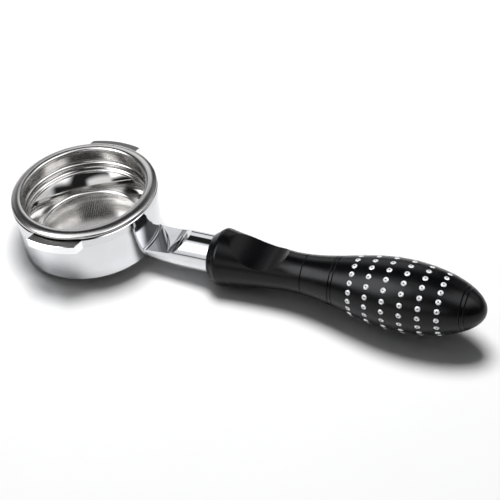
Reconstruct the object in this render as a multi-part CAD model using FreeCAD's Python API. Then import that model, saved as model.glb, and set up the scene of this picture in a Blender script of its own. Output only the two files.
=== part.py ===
"""Bottomless portafilter for a 58 mm espresso group.

Millimetres. The origin is on the head axis, in the bottom plane of the head ring. +Z runs up the head
axis, out of the filter basket's mouth, and +X runs towards the handle, which droops a little below it.
Handle pieces are made along their own +X axis, where s is the distance from the head axis, and are then
placed on the drooping axis.
"""

import FreeCAD, Part
import math
import os

from FreeCAD import Vector

# Head ring, brass: revolved about the head axis.
RING_BASE_R = 33.0        # outside radius at the bottom
RING_TAPER_TOP_R = 34.1   # outside radius just under the top band
RING_BAND_R = 35.0        # outside radius of the top band
RING_BAND_Z = 21.4        # lower edge of the top band
RING_TOP_Z = 25.5         # face that the basket's rim rests on
RING_BORE_R = 31.5        # straight bore, open at the bottom
RING_EDGE = 0.35          # small chamfers on the ring's edges
GROOVE_Z = 20.9           # middle of the spring groove in the bore
GROOVE_DEPTH = 1.35
GROOVE_HALF = 0.95
BAND_STEP = 0.5           # height of the slanted step under the top band

# Bayonet lugs: two, half a turn apart.
LUG_R = 39.3
LUG_START = -108.0        # degrees from +X, the blunt end of the near lug
LUG_SPAN = 42.0
LUG_LEAD = 6.5            # degrees taken up by the 45-degree lead-in at the other end
LUG_BOTTOM_Z = 21.0
LUG_CLIP = 0.3            # chamfer on the lug's outer edges

# Filter basket, pressed steel sheet.
SHEET = 0.6
BASKET_RIM_R = 35.0
BASKET_RIM_Z = 27.0       # height of the rim's widest circle
BASKET_CREST_R = 31.7
BASKET_CREST_Z = 28.5
BASKET_WALL_R = 29.3      # inside radius of the upper wall
BASKET_WALL_TOP_Z = 26.9  # where the upper wall starts to flare into the rim
FLARE_BULGE = 0.62        # how far each of the rim's arcs stands off its chord
CROWN_BULGE = 0.59
ROLL_BULGE = 0.42
ROLL_FOOT_R = 33.5        # where the rolled edge rests on the ring
ROLL_LIP_R = 32.7         # inner end of the rolled edge
ROLL_LIP_GAP = 0.25       # height of that end above the ring
BASKET_RIDGE_Z = 20.9     # ridge that the spring bears on
BASKET_RIDGE_OUT = 1.1
BASKET_BEAD_Z = 17.9      # second, shallower ridge
BASKET_BEAD_OUT = 0.7
RIDGE_HALF = 1.5
BASKET_STEP_Z = 14.9      # step down to the tapered lower wall
BASKET_STEP_R = 28.6
STEP_HALF = 0.4
BASKET_FLOOR_R = 24.6     # inside radius where the wall meets the floor
BASKET_FLOOR_Z = 5.9      # upper face of the floor
BASKET_CORNER = 1.2       # height of the slanted corner between wall and floor

# Retaining spring: a wire ring in the groove.
SPRING_WIRE_R = 0.55
SPRING_R = 31.9

# Handle axis.
DROOP = 2.85              # degrees below the head plane
AXIS_Z = 3.1              # height of the handle axis where it crosses the head axis

# Arm between ring and handle.
ROD_R = 9.35
ROD_START_S = 53.0        # the arm is a plain rod from here on
ARM_END_S = 65.6
ROOT_S = 31.0             # innermost end, inside the ring wall's outer face
ROOT_HALF_Y = 9.6
ROOT_BELOW = 4.6          # underside of the root, below the handle axis
ROOT_ABOVE = 7.6
SADDLE_Z = 4.2            # flat floor of the saddle cut in the arm's top
SADDLE_BEND_X = 46.3      # where floor and slope would meet without the blend
SADDLE_SLOPE = 42.0       # degrees
SADDLE_BLEND_R = 7.6
ROOT_BEAD_R = 1.2         # radius of the brazed fillet where the arm meets the ring

# Handle outline: a cone-like front grip, a waist, and an egg-shaped bulb.
FRONT_S = 63.6
FRONT_LIP_R = 10.5
FRONT_CHAMFER = 0.4
BEVEL_END_S = 67.4
BEVEL_END_R = 13.2
SHOULDER_S = 69.2
SHOULDER_R = 13.8
SHOULDER_BULGE = 0.17     # how far the shoulder's rounding stands off its chord
WAIST_S = 104.0
WAIST_R = 9.35
GRIP_POWER = 1.4
EGG_S = 158.0             # widest station of the bulb
EGG_R = 16.8
EGG_LENGTH = 40.0         # from the widest station to the tip

# Joints between the handle's sections.
SOCKET_R = 9.45
COLLAR_S = 110.4
BULB_RING_S = 124.9
BULB_RING_END_S = 126.6
CAP_RING_S = 188.2
CAP_RING_END_S = 190.0
SEAM_CHAMFER = 0.3

# Thumb scoop, cut across the top of the front grip: over a soft lip, down to its lowest line, then up.
SCOOP_START_S = 69.2
SCOOP_LOW_S = 91.8
SCOOP_LOW_Z = 5.05        # lowest line above the handle axis
SCOOP_LIP_SHARE = 0.3     # share of the way down that the lip's convex arc takes
SCOOP_END_R = 13.2        # radius of the rise at the rear

# Stud and the clamping parts at its rear end, metric 8.
STUD_R = 4.0
STUD_START_S = 50.0
STUD_END_S = 186.0
STUD_HOLE_R = 4.3
WASHER_S = 174.0
WASHER_R = 8.0
WASHER_T = 1.6
SPRING_WASHER_R = 6.6
SPRING_WASHER_T = 2.0
NUT_ACROSS_FLATS = 13.0
NUT_T = 6.5
NUT_POCKET_R = 8.3
SPIGOT_R = 9.2
SPIGOT_START_S = 185.0
SPIGOT_BORE_R = 5.2
INSERT_R = 6.6
INSERT_LENGTH = 14.0
SEAL_T = 0.8
PIN_R = 1.0
PIN_OFFSET = 7.0          # below the handle axis
PIN_HALF_LENGTH = 3.0

# Stones: faceted glass in drilled seats.
STONE_RINGS = 6
STONES_PER_RING = 20
STONE_FIRST_S = 135.8
STONE_PITCH = 8.6
STONE_PHASE = 8.8         # degrees
STONE_R = 1.35
STONE_GIRDLE = 0.3
STONE_CROWN = 0.42
STONE_TABLE_R = 0.75
STONE_BACK = 0.9          # below the girdle, down to the flat back
STONE_BACK_R = 0.6
STONE_SIDES = 8
STONE_PROUD = -0.15       # top of the girdle against the bulb's skin: a little below it
SEAT_GAP = 0.03

X_AXIS = Vector(1, 0, 0)
Y_AXIS = Vector(0, 1, 0)
Z_AXIS = Vector(0, 0, 1)
ORIGIN = Vector(0, 0, 0)


def save(shape, node):
    """Write one node's solids to its own file."""
    shape.exportStep(os.path.join("parts", node + ".step"))


def revolve_about_z(points):
    """Solid of revolution from a closed outline of (radius, height) points."""
    corners = [Vector(r, 0, z) for r, z in points]
    face = Part.Face(Part.makePolygon(corners + corners[:1]))
    return face.revolve(ORIGIN, Z_AXIS, 360)


def revolve_edges_about_z(edges):
    """Solid of revolution from the edges of a closed outline in the XZ plane."""
    face = Part.Face(Part.Wire(edges))
    return face.revolve(ORIGIN, Z_AXIS, 360)


def polyline(points):
    """Straight edges through (radius, height) points in the XZ plane."""
    corners = [Vector(r, 0, z) for r, z in points]
    return [Part.makeLine(a, b) for a, b in zip(corners, corners[1:])]


def bulged_arc(start, end, bulge):
    """Arc in the XZ plane whose middle stands off its chord, to the left of the way it runs."""
    chord = end - start
    left = Vector(-chord.z, 0, chord.x).normalize()
    return Part.Arc(start, (start + end) * 0.5 + left * bulge, end).toShape()


def rod_along_s(radius, start, end, y=0.0, z=0.0):
    """Cylinder along the handle's own axis, from station start to station end."""
    return Part.makeCylinder(radius, end - start, Vector(start, y, z), X_AXIS)


def on_handle_axis(shape):
    """Place a handle piece on the drooping axis."""
    placed = shape.copy()
    placed.rotate(ORIGIN, Y_AXIS, DROOP)
    placed.translate(Vector(0, 0, AXIS_Z))
    return placed


# ---------------------------------------------------------------- head


def lug_sector(radius, start, end, lead):
    """Ring sector whose outer corner at the end angle is cut back by the lead-in."""
    def at(r, degrees):
        angle = math.radians(degrees)
        return Vector(r * math.cos(angle), r * math.sin(angle), LUG_BOTTOM_Z)

    inner = 0.5 * (RING_BORE_R + RING_BAND_R)
    blunt_end = end - lead
    edges = [
        Part.makeLine(at(inner, start), at(radius, start)),
        Part.Arc(at(radius, start), at(radius, 0.5 * (start + blunt_end)), at(radius, blunt_end)).toShape(),
        Part.makeLine(at(radius, blunt_end), at(RING_BAND_R, end)),
        Part.makeLine(at(RING_BAND_R, end), at(inner, end)),
        Part.Arc(at(inner, end), at(inner, 0.5 * (start + end)), at(inner, start)).toShape(),
    ]
    return Part.Face(Part.Wire(edges)).extrude(Vector(0, 0, RING_TOP_Z - LUG_BOTTOM_Z))


def lug_envelope():
    """Disc with clipped outer edges, which chamfers the lugs."""
    return revolve_about_z([
        (0, LUG_BOTTOM_Z),
        (LUG_R - LUG_CLIP, LUG_BOTTOM_Z),
        (LUG_R, LUG_BOTTOM_Z + LUG_CLIP),
        (LUG_R, RING_TOP_Z - LUG_CLIP),
        (LUG_R - LUG_CLIP, RING_TOP_Z),
        (0, RING_TOP_Z),
    ])


def head_ring():
    groove_r = RING_BORE_R + GROOVE_DEPTH
    body = revolve_about_z([
        (RING_BORE_R + RING_EDGE, 0),
        (RING_BASE_R - RING_EDGE, 0),
        (RING_BASE_R, RING_EDGE),
        (RING_TAPER_TOP_R, RING_BAND_Z - BAND_STEP),
        (RING_BAND_R - RING_EDGE, RING_BAND_Z),
        (RING_BAND_R, RING_BAND_Z + RING_EDGE),
        (RING_BAND_R, RING_TOP_Z - RING_EDGE),
        (RING_BAND_R - RING_EDGE, RING_TOP_Z),
        (RING_BORE_R + RING_EDGE, RING_TOP_Z),
        (RING_BORE_R, RING_TOP_Z - RING_EDGE),
        (RING_BORE_R, GROOVE_Z + GROOVE_HALF),
        (groove_r, GROOVE_Z + GROOVE_HALF),
        (groove_r, GROOVE_Z - GROOVE_HALF),
        (RING_BORE_R, GROOVE_Z - GROOVE_HALF),
        (RING_BORE_R, RING_EDGE),
    ])
    envelope = lug_envelope()
    for turn in (0, 180):
        start = LUG_START + turn
        sector = lug_sector(LUG_R + 1, start, start + LUG_SPAN, LUG_LEAD)
        body = body.fuse(sector.common(envelope))
    return body.removeSplitter()


def basket_spring():
    circle = Part.Circle(Vector(SPRING_R, 0, GROOVE_Z), Y_AXIS, SPRING_WIRE_R).toShape()
    return Part.Face(Part.Wire([circle])).revolve(ORIGIN, Z_AXIS, 360)


def rim_skin():
    """Edges from the upper wall over the crest and round the rolled edge, to where it rests."""
    wall_top = Vector(BASKET_WALL_R, 0, BASKET_WALL_TOP_Z)
    crest = Vector(BASKET_CREST_R, 0, BASKET_CREST_Z)
    edge = Vector(BASKET_RIM_R, 0, BASKET_RIM_Z)
    foot = Vector(ROLL_FOOT_R, 0, RING_TOP_Z)
    return [
        bulged_arc(wall_top, crest, FLARE_BULGE),
        bulged_arc(crest, edge, CROWN_BULGE),
        bulged_arc(edge, foot, ROLL_BULGE),
    ]


def rim_underside():
    """Edges from where the rolled edge rests, round the inside of the roll, to the outer wall."""
    wall = BASKET_WALL_R + SHEET
    return polyline([
        (ROLL_FOOT_R, RING_TOP_Z),
        (ROLL_LIP_R, RING_TOP_Z + ROLL_LIP_GAP),
        (ROLL_LIP_R, BASKET_RIM_Z),
        (wall + 0.5 * SHEET, BASKET_WALL_TOP_Z),
        (wall, RING_TOP_Z + SHEET),
    ])


def basket_side(offset):
    """Points down one face of the side wall, from the top of the upper wall to above the floor."""
    wall = BASKET_WALL_R + offset
    return [
        (wall, BASKET_RIDGE_Z + RIDGE_HALF),
        (wall + BASKET_RIDGE_OUT, BASKET_RIDGE_Z),
        (wall, BASKET_RIDGE_Z - RIDGE_HALF),
        (wall + BASKET_BEAD_OUT, BASKET_BEAD_Z),
        (wall, BASKET_BEAD_Z - RIDGE_HALF),
        (wall, BASKET_STEP_Z + STEP_HALF),
        (BASKET_STEP_R + offset, BASKET_STEP_Z - STEP_HALF),
    ]


def wall_edges(points):
    """Edges of one face of the wall: straight where it is flat, three-point arcs over the two ridges."""
    p = [Vector(r, 0, z) for r, z in points]
    ridge = Part.Arc(p[1], p[2], p[3]).toShape()
    bead = Part.Arc(p[3], p[4], p[5]).toShape()
    return polyline(points[:2]) + [ridge, bead] + polyline(points[5:])


def filter_basket():
    corner_z = BASKET_FLOOR_Z + BASKET_CORNER
    bottom_z = BASKET_FLOOR_Z - SHEET
    inner = [(BASKET_WALL_R, BASKET_WALL_TOP_Z)] + basket_side(0) + [(BASKET_FLOOR_R, corner_z)]
    outer = [(BASKET_WALL_R + SHEET, RING_TOP_Z + SHEET)] + basket_side(SHEET)
    outer.append((BASKET_FLOOR_R + SHEET, corner_z))
    floor = polyline([
        inner[-1],
        (BASKET_FLOOR_R - SHEET, BASKET_FLOOR_Z),
        (0, BASKET_FLOOR_Z),
        (0, bottom_z),
        (BASKET_FLOOR_R - 0.5 * SHEET, bottom_z),
        outer[-1],
    ])
    edges = wall_edges(inner) + rim_skin() + rim_underside() + wall_edges(outer) + floor
    return revolve_edges_about_z(Part.__sortEdges__(edges))


# ---------------------------------------------------------------- arm


def arm_section(s, half_y, below, above):
    """Closed oval across the handle axis, no taller than it is wide, as four arcs."""
    half_z = min(0.5 * (above + below), half_y)
    centre = Vector(s, 0, 0.5 * (above - below))
    oval = Part.Ellipse(centre + Y_AXIS * half_y, centre + Z_AXIS * half_z, centre)
    quarter = 0.5 * math.pi
    arcs = [Part.ArcOfEllipse(oval, quarter * i, quarter * (i + 1)).toShape() for i in range(4)]
    return Part.Wire(arcs)


def arm_blank():
    """The arm before it is cut: an oval root that grows into a plain rod."""
    sections = []
    steps = 4
    for i in range(steps + 1):
        t = i / steps
        ease = 1 - (1 - t) ** 2
        half_y = ROOT_HALF_Y + (ROD_R - ROOT_HALF_Y) * ease
        below = ROOT_BELOW + (ROD_R - ROOT_BELOW) * ease
        above = ROOT_ABOVE + (ROD_R - ROOT_ABOVE) * ease
        sections.append(arm_section(ROOT_S + (ROD_START_S - ROOT_S) * t, half_y, below, above))
    root = Part.makeLoft(sections, True, False)
    rod = Part.Face(sections[-1]).extrude(Vector(ARM_END_S - ROD_START_S, 0, 0))
    return root.fuse(rod)


def saddle_cutter():
    """Block above the saddle's floor, its blend and its slope."""
    slope = math.radians(SADDLE_SLOPE)
    centre_x = SADDLE_BEND_X - SADDLE_BLEND_R * math.tan(slope / 2)
    centre_z = SADDLE_Z + SADDLE_BLEND_R
    side = -2 * ROD_R
    slope_length = 2 * ROD_R

    def on_blend(angle):
        x = centre_x + SADDLE_BLEND_R * math.sin(angle)
        return Vector(x, side, centre_z - SADDLE_BLEND_R * math.cos(angle))

    blend_end = on_blend(slope)
    slope_top = blend_end + Vector(math.cos(slope), 0, math.sin(slope)) * slope_length
    start = Vector(0, side, SADDLE_Z)
    corner = Vector(0, side, slope_top.z)
    edges = [
        Part.makeLine(start, on_blend(0)),
        Part.Arc(on_blend(0), on_blend(slope / 2), blend_end).toShape(),
        Part.makeLine(blend_end, slope_top),
        Part.makeLine(slope_top, corner),
        Part.makeLine(corner, start),
    ]
    return Part.Face(Part.Wire(edges)).extrude(Vector(0, -2 * side, 0))


def ring_outside_radius(z):
    """Radius of the ring's tapered outer wall."""
    return RING_BASE_R + (RING_TAPER_TOP_R - RING_BASE_R) * z / RING_BAND_Z


def root_bead():
    """Ring with a concave outer fillet, which follows the head's wall across the saddle's floor."""
    wall = ring_outside_radius(SADDLE_Z)
    inside = wall - ROOT_BEAD_R
    toe = Vector(wall + ROOT_BEAD_R, 0, SADDLE_Z)
    top = Vector(wall, 0, SADDLE_Z + ROOT_BEAD_R)
    throat = ROOT_BEAD_R * (1 - math.sqrt(0.5))
    fillet = Part.Arc(toe, Vector(wall + throat, 0, SADDLE_Z + throat), top).toShape()
    sides = polyline([
        (wall, top.z),
        (inside, top.z),
        (inside, SADDLE_Z - ROOT_BEAD_R),
        (toe.x, SADDLE_Z - ROOT_BEAD_R),
        (toe.x, SADDLE_Z),
    ])
    return revolve_edges_about_z([fillet] + sides)


def neck_arm():
    arm = on_handle_axis(arm_blank()).cut(saddle_cutter().cut(root_bead()))
    below = -ROD_R
    ring_space = revolve_about_z([
        (0, below),
        (RING_BASE_R, below),
        (RING_BASE_R, 0),
        (ring_outside_radius(RING_BAND_Z), RING_BAND_Z),
        (0, RING_BAND_Z),
    ])
    arm = arm.cut(ring_space)
    stud_hole = rod_along_s(STUD_R, STUD_START_S - 1, ARM_END_S + 1)
    pin_hole = rod_along_s(PIN_R, ARM_END_S - PIN_HALF_LENGTH, ARM_END_S + 1, z=-PIN_OFFSET)
    return arm.cut(on_handle_axis(stud_hole)).cut(on_handle_axis(pin_hole))


# ---------------------------------------------------------------- handle outline


def grip_radius(s):
    """Outside radius of the handle at station s, behind the shoulder."""
    if s <= WAIST_S:
        t = (WAIST_S - s) / (WAIST_S - SHOULDER_S)
        return WAIST_R + (SHOULDER_R - WAIST_R) * t ** GRIP_POWER
    if s <= EGG_S:
        t = (s - WAIST_S) / (EGG_S - WAIST_S)
        return WAIST_R + (EGG_R - WAIST_R) * 0.5 * (1 - math.cos(math.pi * t))
    t = min((s - EGG_S) / EGG_LENGTH, 1.0)
    return EGG_R * math.sqrt(1 - t * t)


def outline_curve(start, end, count=9):
    """Smooth outline of the handle between two stations, in the XZ plane."""
    points = []
    for i in range(count):
        s = start + (end - start) * i / (count - 1)
        points.append(Vector(s, 0, grip_radius(s)))
    curve = Part.BSplineCurve()
    curve.interpolate(points)
    return curve.toShape()


def revolve_about_s(edges):
    """Solid of revolution about the handle's own axis."""
    return Part.Face(Part.Wire(edges)).revolve(ORIGIN, X_AXIS, 360)


def closed_outline(edges, start, end):
    """Close an outline down to the axis at both its ends."""
    first = edges[0].Vertexes[0].Point
    last = edges[-1].Vertexes[-1].Point
    front = Part.makeLine(Vector(start, 0, 0), first)
    back = Part.makeLine(last, Vector(end, 0, 0))
    axis = Part.makeLine(Vector(end, 0, 0), Vector(start, 0, 0))
    return [front] + edges + [back, axis]


def section_body(start, end):
    """One handle section between two stations, with a small chamfer at each seam."""
    inner_start = start + SEAM_CHAMFER
    inner_end = end - SEAM_CHAMFER
    skin = outline_curve(inner_start, inner_end)
    first = Vector(inner_start, 0, grip_radius(inner_start))
    last = Vector(inner_end, 0, grip_radius(inner_end))
    edges = [
        Part.makeLine(Vector(start, 0, grip_radius(start) - SEAM_CHAMFER), first),
        skin,
        Part.makeLine(last, Vector(end, 0, grip_radius(end) - SEAM_CHAMFER)),
    ]
    return revolve_about_s(closed_outline(edges, start, end))


# ---------------------------------------------------------------- handle pieces


def scoop_cutter():
    """Bar whose underside is the scoop's side view: a convex lip, a long hollow and a tighter rise."""
    run = SCOOP_LOW_S - SCOOP_START_S
    drop = SHOULDER_R - SCOOP_LOW_Z
    turn = 2 * math.atan2(drop, run)
    radii = run / math.sin(turn)
    lip_r = radii * SCOOP_LIP_SHARE
    hollow_r = radii - lip_r
    side = -2 * SHOULDER_R
    above = 2 * SHOULDER_R

    def on_lip(angle):
        s = SCOOP_START_S + lip_r * math.sin(angle)
        return Vector(s, side, SHOULDER_R - lip_r * (1 - math.cos(angle)))

    def on_hollow(angle):
        s = SCOOP_LOW_S - hollow_r * math.sin(angle)
        return Vector(s, side, SCOOP_LOW_Z + hollow_r * (1 - math.cos(angle)))

    def on_rise(angle):
        s = SCOOP_LOW_S + SCOOP_END_R * math.sin(angle)
        return Vector(s, side, SCOOP_LOW_Z + SCOOP_END_R * (1 - math.cos(angle)))

    quarter = 0.5 * math.pi
    high_start = Vector(SCOOP_START_S, side, above)
    high_end = Vector(on_rise(quarter).x, side, above)
    edges = [
        Part.makeLine(high_start, on_lip(0)),
        Part.Arc(on_lip(0), on_lip(0.5 * turn), on_lip(turn)).toShape(),
        Part.Arc(on_hollow(turn), on_hollow(0.5 * turn), on_hollow(0)).toShape(),
        Part.Arc(on_rise(0), on_rise(0.5 * quarter), on_rise(quarter)).toShape(),
        Part.makeLine(on_rise(quarter), high_end),
        Part.makeLine(high_end, high_start),
    ]
    return Part.Face(Part.Wire(edges)).extrude(Vector(0, -2 * side, 0))


def front_grip():
    shoulder = Vector(SHOULDER_S, 0, SHOULDER_R)
    skin_end = COLLAR_S - SEAM_CHAMFER
    edges = polyline([
        (FRONT_S, FRONT_LIP_R - FRONT_CHAMFER),
        (FRONT_S + FRONT_CHAMFER, FRONT_LIP_R),
        (BEVEL_END_S, BEVEL_END_R),
    ])
    edges.append(bulged_arc(Vector(BEVEL_END_S, 0, BEVEL_END_R), shoulder, SHOULDER_BULGE))
    edges.append(outline_curve(SHOULDER_S, skin_end, 13))
    edges += polyline([(skin_end, grip_radius(skin_end)), (COLLAR_S, grip_radius(COLLAR_S) - SEAM_CHAMFER)])
    body = revolve_about_s(closed_outline(edges, FRONT_S, COLLAR_S))
    body = body.cut(rod_along_s(SOCKET_R, FRONT_S - 1, ARM_END_S + SEAL_T))
    insert_start = ARM_END_S + SEAL_T
    body = body.cut(rod_along_s(INSERT_R, insert_start, insert_start + INSERT_LENGTH))
    body = body.cut(rod_along_s(STUD_HOLE_R, FRONT_S, COLLAR_S + 1))
    pin = rod_along_s(PIN_R, ARM_END_S - 1, ARM_END_S + PIN_HALF_LENGTH, z=-PIN_OFFSET)
    return body.cut(pin).cut(scoop_cutter())


def front_insert():
    start = ARM_END_S + SEAL_T
    bush = rod_along_s(INSERT_R, start, start + INSERT_LENGTH)
    bush = bush.cut(rod_along_s(STUD_R, start - 1, start + INSERT_LENGTH + 1))
    return bush.cut(rod_along_s(PIN_R, ARM_END_S, ARM_END_S + PIN_HALF_LENGTH, z=-PIN_OFFSET))


def neck_seal():
    ring = rod_along_s(ROD_R, ARM_END_S, ARM_END_S + SEAL_T)
    ring = ring.cut(rod_along_s(STUD_HOLE_R, ARM_END_S - 1, ARM_END_S + 2))
    return ring.cut(rod_along_s(PIN_R, ARM_END_S - 1, ARM_END_S + 2, z=-PIN_OFFSET))


def locating_pin():
    start = ARM_END_S - PIN_HALF_LENGTH
    return rod_along_s(PIN_R, start, ARM_END_S + PIN_HALF_LENGTH, z=-PIN_OFFSET)


def handle_stud():
    chamfer = 0.8
    body = rod_along_s(STUD_R, STUD_START_S, STUD_END_S - chamfer)
    tip = Part.makeCone(STUD_R, STUD_R - chamfer, chamfer, Vector(STUD_END_S - chamfer, 0, 0), X_AXIS)
    return body.fuse(tip)


def grip_collar():
    return section_body(COLLAR_S, BULB_RING_S).cut(rod_along_s(STUD_HOLE_R, COLLAR_S - 1, BULB_RING_S + 1))


def bulb_ring():
    bore = rod_along_s(STUD_HOLE_R, BULB_RING_S - 1, BULB_RING_END_S + 1)
    return section_body(BULB_RING_S, BULB_RING_END_S).cut(bore)


def grip_bulb():
    body = section_body(BULB_RING_END_S, CAP_RING_S)
    body = body.cut(rod_along_s(STUD_HOLE_R, BULB_RING_END_S - 1, WASHER_S + 1))
    body = body.cut(rod_along_s(NUT_POCKET_R, WASHER_S, SPIGOT_START_S))
    body = body.cut(rod_along_s(SPIGOT_R, SPIGOT_START_S, CAP_RING_S + 1))
    seat = stone_seat()
    seats = [on_skin(seat, ring, k) for ring in range(STONE_RINGS) for k in range(STONES_PER_RING)]
    return body.cut(Part.makeCompound(seats))


def flat_washer():
    disc = rod_along_s(WASHER_R, WASHER_S, WASHER_S + WASHER_T)
    return disc.cut(rod_along_s(STUD_HOLE_R, WASHER_S - 1, WASHER_S + WASHER_T + 1))


def spring_washer():
    start = WASHER_S + WASHER_T
    disc = rod_along_s(SPRING_WASHER_R, start, start + SPRING_WASHER_T)
    disc = disc.cut(rod_along_s(STUD_HOLE_R, start - 1, start + SPRING_WASHER_T + 1))
    split_width = 0.8
    split_lean = 20.0
    reach = 10.0
    split = Part.makeBox(reach, split_width, reach, Vector(-0.5 * reach, -0.5 * split_width, 0))
    split.rotate(ORIGIN, Z_AXIS, split_lean)
    split.translate(Vector(start + 0.5 * SPRING_WASHER_T, 0, 0))
    return disc.cut(split)


def clamp_nut():
    start = WASHER_S + WASHER_T + SPRING_WASHER_T
    corner_r = NUT_ACROSS_FLATS / math.sqrt(3)
    corners = []
    for i in range(6):
        angle = math.radians(60 * i)
        corners.append(Vector(start, corner_r * math.cos(angle), corner_r * math.sin(angle)))
    prism = Part.Face(Part.makePolygon(corners + corners[:1])).extrude(Vector(NUT_T, 0, 0))
    chamfer = 0.9
    bevel = Part.makeCone(
        corner_r + NUT_T - chamfer, corner_r - chamfer, NUT_T, Vector(start, 0, 0), X_AXIS
    )
    return prism.common(bevel).cut(rod_along_s(STUD_R, start - 1, start + NUT_T + 1))


def cap_ring():
    bore = rod_along_s(SPIGOT_R, CAP_RING_S - 1, CAP_RING_END_S + 1)
    return section_body(CAP_RING_S, CAP_RING_END_S).cut(bore)


def end_cap():
    """Rounded tip with a hollow spigot that screws into the bulb."""
    front = CAP_RING_END_S
    join_s = front + SEAM_CHAMFER
    join_r = grip_radius(join_s)
    tip_s = EGG_S + EGG_LENGTH
    egg = Part.Ellipse(Vector(tip_s, 0, 0), Vector(EGG_S, 0, EGG_R), Vector(EGG_S, 0, 0))
    skin = Part.ArcOfEllipse(egg, 0, math.asin(join_r / EGG_R)).toShape()
    edges = [skin] + polyline([
        (join_s, join_r),
        (front, grip_radius(front) - SEAM_CHAMFER),
        (front, 0),
        (tip_s, 0),
    ])
    body = revolve_about_s(edges)
    body = body.fuse(rod_along_s(SPIGOT_R, SPIGOT_START_S, front))
    return body.cut(rod_along_s(SPIGOT_BORE_R, SPIGOT_START_S - 1, front + SEAM_CHAMFER))


# ---------------------------------------------------------------- stones


def polygon_ring(radius, height):
    """Corners of one level of a stone."""
    corners = []
    for i in range(STONE_SIDES):
        angle = 2 * math.pi * (i + 0.5) / STONE_SIDES
        corners.append(Vector(radius * math.cos(angle), radius * math.sin(angle), height))
    return corners


def faceted_stone():
    """Stone about its own axis: table, crown, girdle and back, with z = 0 at the top of the girdle."""
    levels = [
        polygon_ring(STONE_BACK_R, -STONE_GIRDLE - STONE_BACK),
        polygon_ring(STONE_R, -STONE_GIRDLE),
        polygon_ring(STONE_R, 0),
        polygon_ring(STONE_TABLE_R, STONE_CROWN),
    ]
    faces = [Part.Face(Part.makePolygon(level + level[:1])) for level in (levels[0], levels[-1])]
    for lower, upper in zip(levels, levels[1:]):
        for i in range(STONE_SIDES):
            j = (i + 1) % STONE_SIDES
            faces.append(Part.Face(Part.makePolygon([lower[i], lower[j], upper[j], upper[i], lower[i]])))
    solid = Part.Solid(Part.Shell(faces))
    return solid if solid.Volume > 0 else solid.reversed()


def stone_seat():
    """Flat-bottomed pocket for one stone, reaching out past the skin."""
    depth = STONE_GIRDLE + STONE_BACK + SEAT_GAP
    return Part.makeCylinder(STONE_R + SEAT_GAP, depth + 1, Vector(0, 0, -depth), Z_AXIS)


def on_skin(shape, ring, index):
    """Stand a stone or a seat square to the bulb's skin, in its place in its ring."""
    s = STONE_FIRST_S + STONE_PITCH * ring
    step = 0.05
    slope = (grip_radius(s + step) - grip_radius(s - step)) / (2 * step)
    placed = shape.copy()
    placed.translate(Vector(0, 0, STONE_PROUD))
    placed.rotate(ORIGIN, Y_AXIS, -math.degrees(math.atan(slope)))
    placed.translate(Vector(s, 0, grip_radius(s)))
    placed.rotate(ORIGIN, X_AXIS, STONE_PHASE + 360.0 * index / STONES_PER_RING)
    return placed


def stone_ring(ring):
    stone = faceted_stone()
    return Part.makeCompound([on_skin(stone, ring, k) for k in range(STONES_PER_RING)])


def main():
    os.makedirs("parts", exist_ok=True)
    save(head_ring(), "head_ring")
    save(neck_arm(), "neck_arm")
    save(basket_spring(), "basket_spring")
    save(filter_basket(), "filter_basket")
    handle_pieces = {
        "handle_stud": handle_stud,
        "locating_pin": locating_pin,
        "neck_seal": neck_seal,
        "front_insert": front_insert,
        "front_grip": front_grip,
        "grip_collar": grip_collar,
        "bulb_ring": bulb_ring,
        "grip_bulb": grip_bulb,
        "flat_washer": flat_washer,
        "spring_washer": spring_washer,
        "clamp_nut": clamp_nut,
        "cap_ring": cap_ring,
        "end_cap": end_cap,
    }
    for node, make in handle_pieces.items():
        save(on_handle_axis(make()), node)
    for ring_index in range(STONE_RINGS):
        save(on_handle_axis(stone_ring(ring_index)), "stone_ring_" + str(ring_index + 1))


main()
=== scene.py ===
"""Looks for the bottomless portafilter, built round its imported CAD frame.

The frame is the CAD's own, with +Z up the head axis and +X towards the handle. Shapes are drawn in
millimetres and scaled to metres by finish_mesh. Materials, lights and the camera are in metres.
"""

import math
import random
from collections import namedtuple

import bmesh
import bpy
from mathutils import Matrix, Vector
from mathutils.geometry import delaunay_2d_cdt


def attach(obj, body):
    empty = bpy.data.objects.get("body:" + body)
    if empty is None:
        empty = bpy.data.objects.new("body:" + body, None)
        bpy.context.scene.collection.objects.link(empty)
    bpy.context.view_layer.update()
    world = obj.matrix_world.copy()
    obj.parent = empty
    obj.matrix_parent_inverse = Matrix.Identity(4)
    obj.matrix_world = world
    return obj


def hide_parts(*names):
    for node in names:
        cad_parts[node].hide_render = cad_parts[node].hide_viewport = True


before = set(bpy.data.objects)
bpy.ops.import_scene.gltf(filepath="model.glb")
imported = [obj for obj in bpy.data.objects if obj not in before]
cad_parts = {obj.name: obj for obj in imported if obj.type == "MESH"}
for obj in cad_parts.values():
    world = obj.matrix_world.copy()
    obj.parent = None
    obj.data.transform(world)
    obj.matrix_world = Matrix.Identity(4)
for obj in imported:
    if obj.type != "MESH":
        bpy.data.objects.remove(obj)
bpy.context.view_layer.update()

MM = 0.001


# ---------------------------------------------------------------- node graphs

NOISE_LOW = 0.3             # a noise rarely leaves the span from here
NOISE_HIGH = 0.7            # to here
MIX_COLOR_A = 6             # sockets of a Mix node that is set to colours
MIX_COLOR_B = 7
MIX_COLOR_RESULT = 2


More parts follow.
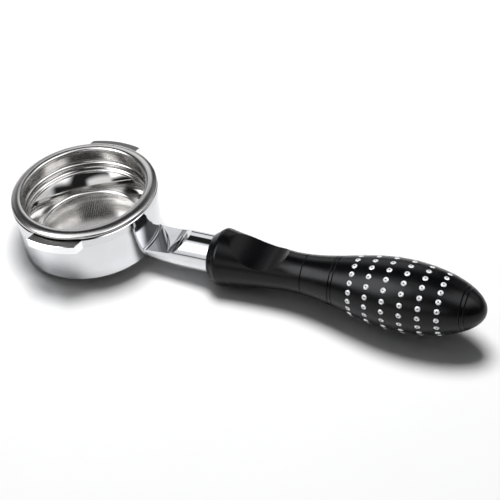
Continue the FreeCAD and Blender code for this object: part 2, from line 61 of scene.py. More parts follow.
class Graph:
    """A material's node tree, built one node at a time."""

    def __init__(self, name):
        self.material = bpy.data.materials.new(name)
        self.material.use_nodes = True
        self.tree = self.material.node_tree
        self.tree.nodes.clear()
        self.output = self.tree.nodes.new("ShaderNodeOutputMaterial")

    def add(self, kind, inputs=None, **settings):
        node = self.tree.nodes.new(kind)
        for key, value in settings.items():
            setattr(node, key, value)
        for key, value in (inputs or {}).items():
            self.feed(node.inputs[key], value)
        return node

    def feed(self, socket, value):
        """Link an output to the socket, or set the socket's own value."""
        if isinstance(value, bpy.types.NodeSocket):
            self.tree.links.new(value, socket)
        else:
            socket.default_value = value

    def math(self, operation, a, b=0.0):
        return self.add("ShaderNodeMath", {0: a, 1: b}, operation=operation).outputs[0]

    def object_coords(self):
        return self.add("ShaderNodeTexCoord").outputs["Object"]

    def noise(self, vector, scale=1.0, detail=3.0, roughness=0.5, distortion=0.0):
        inputs = {"Vector": vector, "Scale": scale, "Detail": detail}
        inputs.update({"Roughness": roughness, "Distortion": distortion})
        return self.add("ShaderNodeTexNoise", inputs).outputs["Fac"]

    def ramp(self, factor, low, high, to_low=0.0, to_high=1.0):
        inputs = {"Value": factor, "From Min": low, "From Max": high, "To Min": to_low, "To Max": to_high}
        return self.add("ShaderNodeMapRange", inputs).outputs["Result"]

    def spread(self, noise, to_low=0.0, to_high=1.0):
        """Stretch a noise over a range."""
        return self.ramp(noise, NOISE_LOW, NOISE_HIGH, to_low, to_high)

    def mix_color(self, factor, a, b):
        node = self.add("ShaderNodeMix", data_type="RGBA")
        self.feed(node.inputs["Factor"], factor)
        self.feed(node.inputs[MIX_COLOR_A], a)
        self.feed(node.inputs[MIX_COLOR_B], b)
        return node.outputs[MIX_COLOR_RESULT]

    def bump(self, height, strength, distance, normal=None):
        inputs = {"Height": height, "Strength": strength, "Distance": distance}
        if normal is not None:
            inputs["Normal"] = normal
        return self.add("ShaderNodeBump", inputs).outputs["Normal"]

    def polar(self, vector):
        """Coordinates (radius, angle, height) about the head axis."""
        x, y, z = self.add("ShaderNodeSeparateXYZ", {0: vector}).outputs
        squares = self.math("ADD", self.math("MULTIPLY", x, x), self.math("MULTIPLY", y, y))
        return self.math("SQRT", squares), self.math("ARCTAN2", y, x), z

    def join(self, x, y, z):
        return self.add("ShaderNodeCombineXYZ", {0: x, 1: y, 2: z}).outputs[0]

    def round_the_axis(self, polar, per_metre, per_radian):
        """Coordinates in which a noise becomes lines that run round the head axis."""
        radius, angle, height = polar
        across = self.math("MULTIPLY", radius, per_metre)
        along = self.math("MULTIPLY", angle, per_radian)
        return self.join(across, along, self.math("MULTIPLY", height, per_metre))

    def surface(self, **inputs):
        """Finish with one Principled shader."""
        named = {key.replace("_", " "): value for key, value in inputs.items()}
        shader = self.add("ShaderNodeBsdfPrincipled", named)
        self.tree.links.new(shader.outputs[0], self.output.inputs["Surface"])
        return self.material


def rgb(r, g, b):
    return (r, g, b, 1.0)


# ---------------------------------------------------------------- materials

# Zones of the head, in metres: where a change of finish starts and where it is complete.
SEAT_HEIGHTS = (0.0250, 0.0251)             # the turned top face of the ring lies above
LUG_RADII = (0.0352, 0.0355)                # the lugs lie outside
CREVICE_INNER_RADII = (0.0334, 0.0340)      # the roll rests just inside, and leaves a crevice outside
CREVICE_OUTER_RADII = (0.0350, 0.0353)      # the crevice ends at the ring's edge
UNDER_ROLL_HEIGHTS = (0.0262, 0.0267)       # the roll curls under below
RIM_HEIGHTS = (0.0266, 0.0274)              # the rim's crest lies above
MIRROR_FROM_HEIGHTS = (0.0075, 0.0110)      # the tapered wall is a mirror from here
MIRROR_TO_HEIGHTS = (0.0138, 0.0150)        # to here
LEVEL_NORMALS = (0.9, 0.97)                 # upward part of a level face's normal

CHROME = rgb(0.70, 0.705, 0.72)
CHROME_WIPED = rgb(0.64, 0.645, 0.66)
# painted highlight: the lugs' chrome is tinted brighter than the ring's, for the brighter floor they
# mirror
LUG_PAINTED_HIGHLIGHT = rgb(0.88, 0.885, 0.90)
# the turned top face's tones: real turning lines, darkened as painted shade under the rim's overhang
SEAT_DARK = rgb(0.18, 0.18, 0.175)
SEAT_LIGHT = rgb(0.34, 0.34, 0.33)
# painted shade: near-black for the crevice under the basket's rim, where the rim's shadow falls
CREVICE_PAINTED_SHADE = rgb(0.03, 0.028, 0.025)
STEEL = rgb(0.66, 0.65, 0.635)
STEEL_DARK = rgb(0.58, 0.57, 0.555)

WIPE_ROUGHENS = 1.8                         # a wipe mark's roughness against the polish beside it
HAIR_SCALES = (300.0, 2500.0, 900.0)        # hairline scratches, longest along X
HAIR_ROUGHNESS = 0.03
SEAT_LINES_PER_METRE = 3500.0
SEAT_ROUGHNESS = (0.16, 0.34)
STEEL_LINES_PER_METRE = 2200.0
STEEL_BANDS_PER_METRE = 300.0
STEEL_ROUGHNESS = (0.035, 0.065)
STEEL_TURNED_ROUGHNESS = 0.09               # added above the mirror wall, and again on the rim
STEEL_FLOOR_ROUGHNESS = 0.10                # added on the floor
BLACK_CLOUD_ROUGHNESS = (-0.03, 0.04)
BLACK_GRAIN_ROUGHNESS = 0.03


def turned_seat(g, at, tint, gloss):
    """The ring's level top face keeps its turning lines in a tone darkened by painted shade, and the
    crevice under the rim is painted near-black as shade.
    """
    radius, _, height = g.polar(at)
    # painted highlight: the lugs take the brighter chrome
    tint = g.mix_color(g.ramp(radius, *LUG_RADII), tint, LUG_PAINTED_HIGHLIGHT)
    lines = g.noise(g.join(g.math("MULTIPLY", radius, SEAT_LINES_PER_METRE), 0.0, 0.0), detail=2.0)
    normal = g.add("ShaderNodeNewGeometry").outputs["Normal"]
    upright = g.add("ShaderNodeSeparateXYZ", {0: normal}).outputs[2]
    level = g.math("MULTIPLY", g.ramp(upright, *LEVEL_NORMALS), g.ramp(height, *SEAT_HEIGHTS))
    gloss = g.math("ADD", gloss, g.math("MULTIPLY", level, g.spread(lines, *SEAT_ROUGHNESS)))
    outside_roll = g.ramp(radius, *CREVICE_INNER_RADII)
    inside_edge = g.ramp(radius, *CREVICE_OUTER_RADII, 1.0, 0.0)
    # turning lines in a dark tone: the lines are real, the darkness is painted shade under the rim
    dull_and_shaded = g.mix_color(g.spread(lines), SEAT_DARK, SEAT_LIGHT)
    # painted shade: the crevice outside the roll goes near-black
    dull_and_shaded = g.mix_color(g.math("MULTIPLY", outside_roll, inside_edge), dull_and_shaded, CREVICE_PAINTED_SHADE)
    return g.mix_color(level, tint, dull_and_shaded), gloss


def chrome(name, roughness, waviness, with_seat=False):
    """Plated and polished brass: wipe marks in the gloss, a faint waviness, and hairline scratches."""
    g = Graph(name)
    at = g.object_coords()
    wipes = g.noise(at, scale=45.0, detail=5.0, roughness=0.6, distortion=0.8)
    stretched = g.add("ShaderNodeMapping", {"Vector": at, "Scale": HAIR_SCALES}).outputs[0]
    hairs = g.noise(stretched, detail=2.0)
    wiped = g.ramp(wipes, 0.35, NOISE_HIGH, roughness, roughness * WIPE_ROUGHENS)
    gloss = g.math("ADD", wiped, g.ramp(hairs, 0.55, 0.8, 0.0, HAIR_ROUGHNESS))
    tint = g.mix_color(g.spread(wipes), CHROME, CHROME_WIPED)
    waves = g.bump(g.noise(at, scale=140.0, detail=1.0), strength=waviness, distance=0.0006)
    normal = g.bump(hairs, strength=0.015, distance=0.00005, normal=waves)
    if with_seat:
        tint, gloss = turned_seat(g, at, tint, gloss)
    return g.surface(Base_Color=tint, Metallic=1.0, Roughness=gloss, Normal=normal)


def drawn_steel(name):
    """Pressed stainless steel: a mirror on the tapered wall, finely turned above it and on the floor."""
    g = Graph(name)
    polar = g.polar(g.object_coords())
    radius, _, height = polar
    lines = g.noise(g.round_the_axis(polar, STEEL_LINES_PER_METRE, 1.6), detail=3.0, roughness=0.6)
    bands = g.noise(g.round_the_axis(polar, STEEL_BANDS_PER_METRE, 2.5), detail=2.0)
    tint = g.mix_color(g.spread(bands), STEEL, STEEL_DARK)
    # painted shade: the roll's underside over the crevice goes near-black
    curled_under = g.ramp(height, *UNDER_ROLL_HEIGHTS, 1.0, 0.0)
    outside_roll = g.ramp(radius, *CREVICE_INNER_RADII)
    tint = g.mix_color(g.math("MULTIPLY", curled_under, outside_roll), tint, CREVICE_PAINTED_SHADE)
    above = g.ramp(height, *MIRROR_TO_HEIGHTS, 0.0, STEEL_TURNED_ROUGHNESS)
    below = g.ramp(height, *MIRROR_FROM_HEIGHTS, STEEL_FLOOR_ROUGHNESS, 0.0)
    rim = g.ramp(height, *RIM_HEIGHTS, 0.0, STEEL_TURNED_ROUGHNESS)
    turned = g.math("ADD", g.math("ADD", above, below), rim)
    gloss = g.math("ADD", g.ramp(lines, NOISE_LOW, 0.75, *STEEL_ROUGHNESS), turned)
    tangent = g.add("ShaderNodeTangent", direction_type="RADIAL", axis="Z").outputs[0]
    normal = g.bump(lines, strength=0.006, distance=0.00004)
    return g.surface(Base_Color=tint, Metallic=1.0, Roughness=gloss, Normal=normal,
                     Anisotropic=0.35, Tangent=tangent)


def satin_black(name, base, roughness):
    """Black satin lacquer: a fine grain in its skin and slightly uneven gloss."""
    g = Graph(name)
    at = g.object_coords()
    grain = g.noise(at, scale=2600.0, detail=2.0, roughness=0.6)
    cloud = g.noise(at, scale=60.0, detail=4.0, roughness=0.55, distortion=0.4)
    dark = rgb(base, base, base * 1.3)
    light = rgb(base * 1.6, base * 1.6, base * 2.1)
    tint = g.mix_color(g.spread(cloud), dark, light)
    smoother, rougher = BLACK_CLOUD_ROUGHNESS
    clouded = g.spread(cloud, roughness + smoother, roughness + rougher)
    grained = g.spread(grain, -BLACK_GRAIN_ROUGHNESS, BLACK_GRAIN_ROUGHNESS)
    normal = g.bump(grain, strength=0.12, distance=0.00003)
    return g.surface(Base_Color=tint, Roughness=g.math("ADD", clouded, grained), IOR=1.32, Normal=normal)


def plated_steel(name, tint_a, tint_b):
    """Small turned or drawn metal parts: patchy plating with a fine grain."""
    g = Graph(name)
    at = g.object_coords()
    patches = g.noise(at, scale=260.0, detail=4.0, roughness=0.6)
    fine = g.noise(at, scale=3000.0, detail=2.0)
    tint = g.mix_color(g.spread(patches), tint_a, tint_b)
    normal = g.bump(fine, strength=0.1, distance=0.00004)
    return g.surface(Base_Color=tint, Metallic=1.0, Roughness=g.spread(patches, 0.22, 0.4), Normal=normal)


def rubber(name):
    """Moulded black rubber with a little dust."""
    g = Graph(name)
    dust = g.noise(g.object_coords(), scale=500.0, detail=4.0, roughness=0.6)
    tint = g.mix_color(g.ramp(dust, 0.4, 0.75), rgb(0.02, 0.02, 0.02), rgb(0.045, 0.043, 0.04))
    normal = g.bump(dust, strength=0.3, distance=0.0001)
    return g.surface(Base_Color=tint, Roughness=g.spread(dust, 0.6, 0.85), Normal=normal)


def stone_foil(name):
    """Silvered facets of a glass stone, each facet a little different."""
    g = Graph(name)
    cells = {"Vector": g.object_coords(), "Scale": 900.0}
    facets = g.add("ShaderNodeTexVoronoi", cells).outputs["Color"]
    value = g.add("ShaderNodeSeparateColor", {0: facets}).outputs[0]
    tint = g.mix_color(value, rgb(0.98, 0.98, 1.0), rgb(0.88, 0.90, 0.94))
    return g.surface(Base_Color=tint, Metallic=0.25, Roughness=g.ramp(value, 0.0, 1.0, 0.12, 0.3),
                     Coat_Weight=1.0, Coat_Roughness=0.02, Coat_IOR=1.52)


def stone_core(name):
    """The dark window at a stone's centre: painted shade, near-black where the stone returns no light."""
    g = Graph(name)
    cloud = g.noise(g.object_coords(), scale=1500.0, detail=2.0)
    tint = g.mix_color(cloud, rgb(0.012, 0.012, 0.014), rgb(0.05, 0.05, 0.055))
    return g.surface(Base_Color=tint, Roughness=g.spread(cloud, 0.18, 0.30), IOR=1.40)


def floor_paper(name):
    """White paper sweep with a slight sheen."""
    g = Graph(name)
    at = g.object_coords()
    cloud = g.noise(at, scale=9.0)
    fine = g.noise(at, scale=900.0, detail=2.0)
    tint = g.mix_color(cloud, rgb(0.86, 0.86, 0.865), rgb(0.90, 0.90, 0.90))
    return g.surface(Base_Color=tint, Roughness=g.spread(fine, 0.20, 0.26), IOR=1.35)


MATERIALS = {
    "chromed_brass": chrome("chromed_brass_look", roughness=0.06, waviness=0.05, with_seat=True),
    "chromed_arm": chrome("chromed_arm_look", roughness=0.035, waviness=0.03),
    "basket_steel": drawn_steel("basket_steel_look"),
    "spring_wire": plated_steel("spring_wire_look", rgb(0.55, 0.55, 0.56), rgb(0.42, 0.42, 0.43)),
    "plated_steel": plated_steel("plated_steel_look", rgb(0.62, 0.62, 0.60), rgb(0.48, 0.48, 0.50)),
    "brass_insert": plated_steel("brass_insert_look", rgb(0.78, 0.58, 0.28), rgb(0.62, 0.44, 0.20)),
    "seal_rubber": rubber("seal_rubber_look"),
    "grip_black": satin_black("grip_black_look", base=0.0012, roughness=0.27),
    "ring_black": satin_black("ring_black_look", base=0.0015, roughness=0.22),
    "stones": stone_foil("stone_foil_look"),
}


def dress_cad_nodes():
    """Give every CAD node its look, by the name of the slot the CAD gave it."""
    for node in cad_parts.values():
        for index, material in enumerate(node.data.materials):
            node.material_slots[index].material = MATERIALS[material.name.split(".")[0]]


# ---------------------------------------------------------------- geometry helpers


def finish_mesh(name, bm, materials, smooth_angle=None):
    """Turn a bmesh in millimetres into an object in metres, in the CAD's frame."""
    bmesh.ops.recalc_face_normals(bm, faces=bm.faces)
    bmesh.ops.scale(bm, vec=(MM, MM, MM), verts=bm.verts)
    if smooth_angle is not None:
        for face in bm.faces:
            face.smooth = True
        for edge in bm.edges:
            edge.smooth = edge.is_manifold and edge.calc_face_angle(0.0) < smooth_angle
    mesh = bpy.data.meshes.new(name)
    bm.to_mesh(mesh)
    bm.free()
    for material in materials:
        mesh.materials.append(material)
    obj = bpy.data.objects.new(name, mesh)
    bpy.context.scene.collection.objects.link(obj)
    return obj


def circle_points(radius, count, shift=0.0):
    """Points on a circle, the first one turned by shift steps from +X."""
    angles = [2 * math.pi * (k + shift) / count for k in range(count)]
    return [(radius * math.cos(angle), radius * math.sin(angle)) for angle in angles]


def join_rings(bm, lower, upper):
    """Quads between two rings of as many vertices."""
    count = len(lower)
    for i in range(count):
        j = (i + 1) % count
        bm.faces.new((lower[i], lower[j], upper[j], upper[i]))


def lathe_rows(bm, profile, segments):
    """Rings of vertices for a (radius, height) profile, joined by quads. Returns the rings."""
    rings = []
    for r, z in profile:
        rings.append([bm.verts.new((x, y, z)) for x, y in circle_points(r, segments)])
    for lower, upper in zip(rings, rings[1:]):
        join_rings(bm, lower, upper)
    return rings


def add_arc(points, end, bulge, count):
    """Carry a profile on to end by an arc, whose middle stands off its chord to the left of its way."""
    sx, sz = points[-1]
    ex, ez = end
    chord = math.hypot(ex - sx, ez - sz)
    ux, uz = (ex - sx) / chord, (ez - sz) / chord
    radius = (chord * chord / 4 + bulge * bulge) / (2 * abs(bulge))
    half = math.asin(min(1.0, chord / (2 * radius)))
    side = 1.0 if bulge > 0 else -1.0
    for i in range(1, count + 1):
        angle = -half + 2 * half * i / count
        along = chord / 2 + radius * math.sin(angle)
        off = side * (radius * math.cos(angle) - radius + abs(bulge))
        points.append((sx + ux * along - uz * off, sz + uz * along + ux * off))


# ---------------------------------------------------------------- filter basket

# Pairs are (radius, height) in the section, and the last number of an arc is how many steps it takes.
SHEET = 0.6
FLOOR_Z = 5.9
FLOOR_R = 24.6
PLATE_R = 22.9                      # the flat part of the floor ends here
CORNER_TOP = (FLOOR_R - 0.05, FLOOR_Z + 1.3)
CORNER_OUTSIDE = (FLOOR_R + SHEET, FLOOR_Z + 1.2)
CORNER_BULGE = 0.34
CORNER_OUTSIDE_BULGE = 0.5
TAPER_TOP = (28.5, 14.2)
STEP_MIDDLE = (28.85, 14.75)
STEP_TOP_Z = 15.35
STEP_HOLLOW = 0.06
STEP_CREST = 0.10
BORE_R = 29.3                       # tamper bore
OUTER_R = 29.9
LOW_RIDGE_Z = 16.35                 # the lower ridge starts here
LOW_RIDGE_OUTSIDE_Z = 16.4
RIDGES_MEET_Z = 19.4
HIGH_RIDGE_TOP_Z = 22.4             # the upper ridge ends here
LOW_RIDGE_DEPTH = 0.7
HIGH_RIDGE_DEPTH = 1.1
UPPER_WALL_HEIGHTS = (23.5, 24.6, 25.7, 26.9)
RIM_INNER = (30.6, 28.5)            # inner end of the rim's crest
RIM_OUTER = (34.3, 27.6)            # outer end of the rim's crest
RIM_WIDEST = (34.98, 26.6)
ROLL_FOOT = (33.5, 25.5)            # the roll rests on the ring here
CREST_BULGE = 0.35
SHOULDER_BULGE = 0.16
ROLL_BULGE = 0.42
ROLL_INSIDE = ((32.7, 25.75), (32.7, 27.0), (30.2, 26.9), (OUTER_R, 26.1))
STEP_OUTSIDE = ((OUTER_R, 15.3), (29.2, 14.5))
LATHE_SEGMENTS = 288
PRESSING_SMOOTH_ANGLE = math.radians(38)

HOLE_PITCH = 1.0
HOLE_R = 0.20
HOLE_MOUTH_R = 0.23
HOLE_MOUTH_DEPTH = 0.03
HOLE_SIDES = 8
HOLES_TO_R = 22.0
INSIDE_OUTLINE = 1                  # delaunay_2d_cdt's output: triangles inside the outline
MERGE_WITHIN = 1e-6


def basket_inner_profile():
    """Inner face from the floor's edge up the wall, over the crest and round the rolled rim."""
    points = [(PLATE_R, FLOOR_Z)]
    add_arc(points, CORNER_TOP, -CORNER_BULGE, 6)
    points.append(TAPER_TOP)
    add_arc(points, STEP_MIDDLE, -STEP_HOLLOW, 3)
    add_arc(points, (BORE_R, STEP_TOP_Z), STEP_CREST, 4)
    points.append((BORE_R, LOW_RIDGE_Z))
    add_arc(points, (BORE_R, RIDGES_MEET_Z), -LOW_RIDGE_DEPTH, 12)
    add_arc(points, (BORE_R, HIGH_RIDGE_TOP_Z), -HIGH_RIDGE_DEPTH, 14)
    points += [(BORE_R, z) for z in UPPER_WALL_HEIGHTS]
    add_arc(points, RIM_INNER, CREST_BULGE, 8)
    add_arc(points, RIM_OUTER, CREST_BULGE, 12)
    add_arc(points, RIM_WIDEST, SHOULDER_BULGE, 6)
    add_arc(points, ROLL_FOOT, ROLL_BULGE, 8)
    return points


def basket_outer_profile():
    """Outer face from inside the rolled rim down to the underside of the floor."""
    points = list(ROLL_INSIDE)
    points.append((OUTER_R, HIGH_RIDGE_TOP_Z))
    add_arc(points, (OUTER_R, RIDGES_MEET_Z), HIGH_RIDGE_DEPTH, 12)
    add_arc(points, (OUTER_R, LOW_RIDGE_OUTSIDE_Z), LOW_RIDGE_DEPTH, 10)
    points += STEP_OUTSIDE
    points.append(CORNER_OUTSIDE)
    add_arc(points, (PLATE_R, FLOOR_Z - SHEET), CORNER_OUTSIDE_BULGE, 6)
    return points


def hole_centres():
    """Staggered holes over the floor."""
    row_step = HOLE_PITCH * math.sqrt(3) / 2
    rows = int(HOLES_TO_R / row_step)
    columns = int(HOLES_TO_R / HOLE_PITCH) + 1
    centres = []
    for row in range(-rows, rows + 1):
        shift = 0.5 * HOLE_PITCH if row % 2 else 0.0
        for column in range(-columns, columns + 1):
            x = column * HOLE_PITCH + shift
            y = row * row_step
            if math.hypot(x, y) < HOLES_TO_R:
                centres.append((x, y))
    return centres


def pierced_sheet(bm, rim, centres, radius, z):
    """One face of the plate, inside its rim and outside its holes. Returns the holes' vertices."""
    count = len(rim)
    flat = [Vector(p) for p in circle_points(PLATE_R, count)]
    edges = [(i, (i + 1) % count) for i in range(count)]
    for cx, cy in centres:
        first = len(flat)
        flat += [Vector((cx + x, cy + y)) for x, y in circle_points(radius, HOLE_SIDES, 0.5)]
        edges += [(first + k, first + (k + 1) % HOLE_SIDES) for k in range(HOLE_SIDES)]
    _, _, faces, origins, _, _ = delaunay_2d_cdt(flat, edges, [], INSIDE_OUTLINE, MERGE_WITHIN)
    made = list(rim)
    for p in flat[count:]:
        made.append(bm.verts.new((p.x, p.y, z)))
    at = [source[0] for source in origins]
    for face in faces:
        corners = [at[i] for i in face]
        holes = set((c - count) // HOLE_SIDES if c >= count else -1 for c in corners)
        fills_a_hole = len(holes) == 1 and -1 not in holes
        only_on_rim = all(c < count for c in corners)
        if not fills_a_hole and not only_on_rim:
            bm.faces.new([made[c] for c in corners])
    return made[count:]


def perforated_plate(bm, top_ring, bottom_ring):
    """The floor between the wall's two innermost rings, with every hole cut right through."""
    centres = hole_centres()
    mouths = pierced_sheet(bm, top_ring, centres, HOLE_MOUTH_R, FLOOR_Z)
    exits = pierced_sheet(bm, bottom_ring, centres, HOLE_R, FLOOR_Z - SHEET)
    necks = []
    for cx, cy in centres:
        for x, y in circle_points(HOLE_R, HOLE_SIDES, 0.5):
            necks.append(bm.verts.new((cx + x, cy + y, FLOOR_Z - HOLE_MOUTH_DEPTH)))
    for first in range(0, len(mouths), HOLE_SIDES):
        hole = slice(first, first + HOLE_SIDES)
        join_rings(bm, mouths[hole], necks[hole])
        join_rings(bm, necks[hole], exits[hole])


def build_basket():
    bm = bmesh.new()
    inner = lathe_rows(bm, basket_inner_profile(), LATHE_SEGMENTS)
    outer = lathe_rows(bm, basket_outer_profile(), LATHE_SEGMENTS)
    join_rings(bm, inner[-1], outer[0])
    perforated_plate(bm, inner[0], outer[-1])
    basket = finish_mesh("basket_pressing", bm, [MATERIALS["basket_steel"]], PRESSING_SMOOTH_ANGLE)
    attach(basket, "basket")
    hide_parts("filter_basket")


# ---------------------------------------------------------------- stones

# The handle's axis and its bulb, as the CAD has them. s runs along the handle from the head axis.
DROOP = math.radians(2.85)
AXIS_Z = 3.1
WAIST_S = 104.0
WAIST_R = 9.35
EGG_S = 158.0
EGG_R = 16.8
EGG_LENGTH = 40.0
SLOPE_STEP = 0.05                   # half the length over which the skin's slope is measured

STONE_RINGS = 6
STONES_PER_RING = 20
STONE_FIRST_S = 135.8
STONE_PITCH = 8.6
STONE_PHASE = math.radians(8.8)
STONE_PROUD = -0.15                 # top of the girdle against the bulb's skin: a little below it
STONE_SIDES = 8                     # sides of the table
GIRDLE_SIDES = 2 * STONE_SIDES
STONE_R = 1.35
STONE_GIRDLE = 0.3
STONE_DEPTH = 1.2
STONE_FOOT_R = 0.6
SHOULDER_R, SHOULDER_Z = 1.02, 0.24
TABLE_R, TABLE_Z = 0.70, 0.42
WINDOW_R, WINDOW_Z = 0.42, 0.36
STONE_TURN = math.pi / 4            # each stone is turned in its seat by up to this
STONE_SEED = 7
CORE_SLOT = 1                       # the dark window's material slot


def bulb_radius(s):
    if s <= EGG_S:
        t = (s - WAIST_S) / (EGG_S - WAIST_S)
        return WAIST_R + (EGG_R - WAIST_R) * 0.5 * (1 - math.cos(math.pi * t))
    t = (s - EGG_S) / EGG_LENGTH
    return EGG_R * math.sqrt(1 - t * t)


def cut_stone(bm, place):
    """One stone: pavilion, girdle, crown of kites and stars, table, and the dark window of painted shade
    in its middle.
    """
    def level(radius, height, count, shift=0.0):
        corners = circle_points(radius, count, shift)
        return [bm.verts.new(place @ Vector((x, y, height))) for x, y in corners]

    foot = level(STONE_FOOT_R, -STONE_DEPTH, GIRDLE_SIDES)
    girdle_low = level(STONE_R, -STONE_GIRDLE, GIRDLE_SIDES)
    girdle = level(STONE_R, 0.0, GIRDLE_SIDES)
    shoulder = level(SHOULDER_R, SHOULDER_Z, STONE_SIDES, 0.5)
    table = level(TABLE_R, TABLE_Z, STONE_SIDES)
    window = level(WINDOW_R, WINDOW_Z, STONE_SIDES)
    bm.faces.new(list(reversed(foot)))
    join_rings(bm, foot, girdle_low)
    join_rings(bm, girdle_low, girdle)
    for k in range(STONE_SIDES):
        after = (k + 1) % STONE_SIDES
        before = (k - 1) % STONE_SIDES
        corner = girdle[2 * k]
        mid = girdle[2 * k + 1]
        next_corner = girdle[(2 * k + 2) % GIRDLE_SIDES]
        bm.faces.new((corner, mid, shoulder[k]))
        bm.faces.new((mid, next_corner, shoulder[k]))
        bm.faces.new((corner, shoulder[k], table[k], shoulder[before]))
        bm.faces.new((shoulder[k], table[after], table[k]))
        bm.faces.new((table[k], table[after], window[after], window[k]))
    # painted shade: the window takes the near-black material
    core = bm.faces.new(window)
    core.material_index = CORE_SLOT


def build_stones():
    rng = random.Random(STONE_SEED)
    to_axis = Matrix.Translation((0, 0, AXIS_Z)) @ Matrix.Rotation(DROOP, 4, "Y")
    core = stone_core("stone_core_look")
    for ring in range(STONE_RINGS):
        bm = bmesh.new()
        s = STONE_FIRST_S + STONE_PITCH * ring
        slope = (bulb_radius(s + SLOPE_STEP) - bulb_radius(s - SLOPE_STEP)) / (2 * SLOPE_STEP)
        stand = Matrix.Translation((s, 0, bulb_radius(s))) @ Matrix.Rotation(-math.atan(slope), 4, "Y")
        stand = stand @ Matrix.Translation((0, 0, STONE_PROUD))
        for k in range(STONES_PER_RING):
            turn = Matrix.Rotation(STONE_PHASE + 2 * math.pi * k / STONES_PER_RING, 4, "X")
            spin = Matrix.Rotation(rng.uniform(0, STONE_TURN), 4, "Z")
            cut_stone(bm, to_axis @ turn @ stand @ spin)
        number = str(ring + 1)
        stones = finish_mesh("cut_stones_" + number, bm, [MATERIALS["stones"], core])
        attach(stones, "root")
        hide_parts("stone_ring_" + number)


# ---------------------------------------------------------------- floor, light and camera

# The part lies on the ring's lower edge and the front grip's shoulder, so the floor falls away along +X.
REST_RING = Vector((-32.65, 0, 0)) * MM
REST_GRIP = Vector((68.43, 0, -14.12)) * MM
FLOOR_HALF = 6.0

LOOK_AT = Vector((0.0660, 0.0302, -0.0224))
CAMERA_DISTANCE = 1.23
CAMERA_AZIMUTH = -60.8
CAMERA_ELEVATION = 40.22
CAMERA_ROLL = -10.05
CAMERA_LENS = 183.54
CAMERA_SENSOR = 36.0
CAMERA_CLIP = (0.05, 50.0)

# Soft bright cards round the part. Angles are in degrees.
Card = namedtuple("Card", "azimuth elevation half_width half_height softness level")
CARDS = (
    Card(112.0, 28.0, 13.0, 15.0, 5.0, 1.05),       # behind, mirrored by the arm's flat top
    Card(144.0, 14.0, 15.0, 16.0, 7.0, 0.4),        # behind on the left, for the rim
    Card(-135.0, 47.0, 18.0, 20.0, 6.0, 4.6),       # high on the left, for the handle's sheen
    Card(-91.0, 19.0, 22.0, 11.0, 5.0, 1.1),        # low in front, for the basket's tapered wall
    Card(-4.0, 50.0, 24.0, 16.0, 8.0, 2.6),         # high on the right, for the handle's sheen
    Card(30.0, 26.0, 25.0, 14.0, 7.0, 0.85),        # lower on the right, for the arm's root
    Card(-100.0, 78.0, 26.0, 13.0, 6.0, 1.15),      # overhead, a window in the rod
    Card(68.0, 26.0, 14.0, 18.0, 8.0, 0.22),        # dim, behind on the right
)
AMBIENT = 0.02
LIGHT_COLOR = (0.97, 0.975, 1.0, 1.0)
BACKDROP_COLOR = (0.97, 0.97, 0.975, 1.0)
QUARTER_TURN = 90.0


def direction(azimuth, elevation):
    """Unit vector, with the azimuth in degrees from +X towards +Y."""
    a, e = math.radians(azimuth), math.radians(elevation)
    return Vector((math.cos(a) * math.cos(e), math.sin(a) * math.cos(e), math.sin(e)))


def build_floor():
    along = (REST_GRIP - REST_RING).normalized()
    side = Vector((0, 1, 0))
    bm = bmesh.new()
    corners = []
    for u, v in ((-1, -1), (1, -1), (1, 1), (-1, 1)):
        point = (REST_RING + along * (u * FLOOR_HALF) + side * (v * FLOOR_HALF)) / MM
        corners.append(bm.verts.new(point))
    bm.faces.new(corners)
    floor = finish_mesh("studio_floor", bm, [floor_paper("studio_floor_look")])


def area_light(name, azimuth, elevation, distance, size, power):
    """A round soft light, which doesn't show in reflections."""
    aim = direction(azimuth, elevation)
    data = bpy.data.lights.new(name, "AREA")
    data.shape = "DISK"
    data.size = size
    data.energy = power
    light = bpy.data.objects.new(name, data)
    light.location = LOOK_AT + aim * distance
    light.rotation_mode = "QUATERNION"
    light.rotation_quaternion = (-aim).to_track_quat("-Z", "Y")
    light.visible_glossy = False
    bpy.context.scene.collection.objects.link(light)


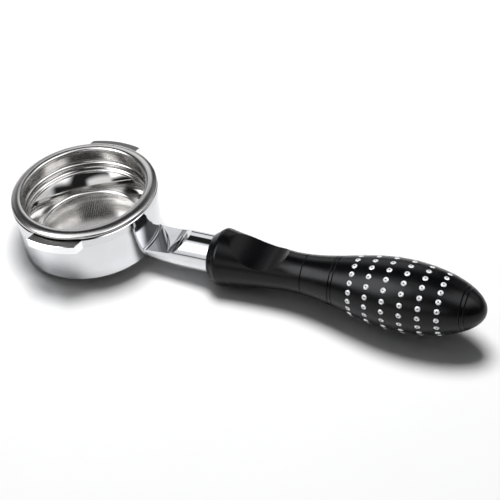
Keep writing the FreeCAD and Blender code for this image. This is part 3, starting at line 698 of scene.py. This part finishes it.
def studio_world():
    """Surroundings: a dim room with the cards, for reflections, and a plain pale backdrop."""
    world = bpy.data.worlds.new("studio")
    bpy.context.scene.world = world
    world.use_nodes = True
    world.cycles_visibility.diffuse = False
    tree = world.node_tree
    tree.nodes.clear()

    def add(kind, *values, **settings):
        node = tree.nodes.new(kind)
        for key, value in settings.items():
            setattr(node, key, value)
        for index, value in enumerate(values):
            if isinstance(value, bpy.types.NodeSocket):
                tree.links.new(value, node.inputs[index])
            else:
                node.inputs[index].default_value = value
        return node.outputs

    look = add("ShaderNodeTexCoord")["Generated"]
    level = AMBIENT
    for card in CARDS:
        out = direction(card.azimuth, card.elevation)
        right = direction(card.azimuth + QUARTER_TURN, 0.0)
        up = out.cross(right)
        depth = add("ShaderNodeVectorMath", look, tuple(out), operation="DOT_PRODUCT")["Value"]
        lit = card.level
        for axis, half in ((right, card.half_width), (up, card.half_height)):
            across = add("ShaderNodeVectorMath", look, tuple(axis), operation="DOT_PRODUCT")["Value"]
            angle = add("ShaderNodeMath", across, depth, operation="ARCTAN2")[0]
            away = add("ShaderNodeMath", angle, operation="ABSOLUTE")[0]
            near = math.radians(half - card.softness)
            far = math.radians(half + card.softness)
            fade = add("ShaderNodeMapRange", away, near, far, 1.0, 0.0, interpolation_type="SMOOTHSTEP")[0]
            lit = add("ShaderNodeMath", fade, lit, operation="MULTIPLY")[0]
        level = add("ShaderNodeMath", level, lit, operation="ADD")[0]
    path = add("ShaderNodeLightPath")
    backdrop = add("ShaderNodeBackground", BACKDROP_COLOR, 1.0)[0]
    lighting = add("ShaderNodeBackground", LIGHT_COLOR, level)[0]
    mixed = add("ShaderNodeMixShader", path["Is Camera Ray"], lighting, backdrop)[0]
    output = tree.nodes.new("ShaderNodeOutputWorld")
    tree.links.new(mixed, output.inputs["Surface"])


def build_camera():
    data = bpy.data.cameras.new("camera")
    data.lens = CAMERA_LENS
    data.sensor_width = CAMERA_SENSOR
    data.clip_start, data.clip_end = CAMERA_CLIP
    camera = bpy.data.objects.new("camera", data)
    out = direction(CAMERA_AZIMUTH, CAMERA_ELEVATION)
    camera.location = LOOK_AT + out * CAMERA_DISTANCE
    camera.rotation_mode = "QUATERNION"
    level = (-out).to_track_quat("-Z", "Y").to_matrix()
    roll = Matrix.Rotation(math.radians(CAMERA_ROLL), 3, "Z")
    camera.rotation_quaternion = (level @ roll).to_quaternion()
    bpy.context.scene.collection.objects.link(camera)
    bpy.context.scene.camera = camera


def build_studio():
    build_floor()
    build_camera()
    area_light("key", azimuth=80.0, elevation=82.0, distance=1.3, size=0.6, power=19.5)
    area_light("overhead", azimuth=-60.0, elevation=75.0, distance=1.6, size=2.6, power=5.0)
    studio_world()
    view = bpy.context.scene.view_settings
    view.view_transform = "Standard"
    view.look = "None"


dress_cad_nodes()
build_basket()
build_stones()
build_studio()
